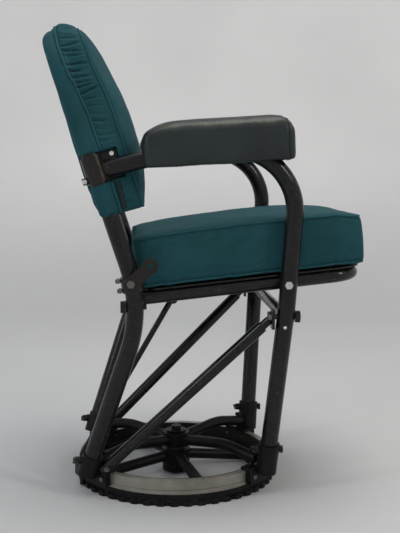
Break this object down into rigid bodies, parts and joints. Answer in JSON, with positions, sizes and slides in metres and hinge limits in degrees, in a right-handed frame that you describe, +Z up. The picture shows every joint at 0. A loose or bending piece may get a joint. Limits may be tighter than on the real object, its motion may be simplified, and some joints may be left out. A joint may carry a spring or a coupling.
{
  "type": "swivel armchair",
  "caption": "Tubular-frame swivel armchair with loose fabric cushions, padded armrests and a notched floor ring with a lock.",
  "frame": {"origin": "centre of the floor ring, on its underside at the floor", "axes": "+X towards the chair's front, +Y towards the sitter's left, +Z up"},
  "size_m": [0.5888, 0.488, 0.8784],
  "materials": {
    "black_paint": "semi-gloss, worn",
    "bare_ring": "satin, scratched",
    "steel": "brushed",
    "teal_fabric": "matt woven",
    "dark_leather": "semi-gloss, worn"
  },
  "bodies": {
    "base": {"index_ring": "black_paint", "wear_ring": "steel", "floor_spider": "black_paint", "pivot_post": "steel", "pivot_washer": "steel", "pivot_cap_bolt": "steel"},
    "chair": {"race_ring": "bare_ring", "right_front_shoe": "black_paint", "left_front_shoe": "black_paint", "right_rear_shoe": "black_paint", "left_rear_shoe": "black_paint", "shoe_screws": "steel", "socket_bolts": "black_paint", "wing_nuts": "black_paint", "swivel_hub": "black_paint", "hub_bush": "steel", "thrust_washer": "steel", "hub_arm_right_front": "black_paint", "hub_arm_left_front": "black_paint", "hub_arm_right_rear": "black_paint", "hub_arm_left_rear": "black_paint", "hub_arm_bolts": "black_paint", "right_arm_tube": "black_paint", "left_arm_tube": "black_paint", "right_rear_leg": "black_paint", "left_rear_leg": "black_paint", "back_hoop": "black_paint", "hoop_spigots": "steel", "right_seat_collar": "black_paint", "left_seat_collar": "black_paint", "collar_bolts": "steel", "lug_pivots": "steel", "right_arm_bracket": "black_paint", "left_arm_bracket": "black_paint", "bracket_screws": "steel", "right_seat_rail": "black_paint", "left_seat_rail": "black_paint", "front_seat_bar": "black_paint", "rear_seat_bar": "black_paint", "rail_bolts": "steel", "front_cross_tube": "black_paint", "rear_cross_tube": "black_paint", "cross_bolts": "black_paint", "seat_pan": "black_paint", "pan_screws": "steel", "right_brace": "black_paint", "left_brace": "black_paint", "brace_bolts": "steel", "lock_guide": "black_paint", "back_panel": "black_paint", "seat_cushion": "teal_fabric", "back_cushion": "teal_fabric", "back_sleeve": "teal_fabric", "right_armrest_pad": "dark_leather", "left_armrest_pad": "dark_leather"},
    "lock": {"lock_rod": "black_paint", "lock_handle": "black_paint"},
    "right_lug": {"right_belt_lug": "black_paint"},
    "left_lug": {"left_belt_lug": "black_paint"}
  },
  "joints": [
    {"name": "swivel", "type": "hinge", "parent": "base", "child": "chair", "pos_m": [0, 0, 0], "axis": [0, 0, 1], "continuous": true},
    {"name": "lock_lift", "type": "slide", "parent": "chair", "child": "lock", "axis": [0, 0, 1], "range_m": [0, 0.017], "stiffness_N_per_m": 400, "springref_m": -0.01},
    {"name": "right_lug_turn", "type": "hinge", "parent": "chair", "child": "right_lug", "pos_m": [-0.09108, -0.229, 0.41952], "axis": [0, 1, 0], "range_deg": [-75, 60]},
    {"name": "left_lug_turn", "type": "hinge", "parent": "chair", "child": "left_lug", "pos_m": [-0.09108, 0.229, 0.41952], "axis": [0, 1, 0], "range_deg": [-75, 60]}
  ]
}
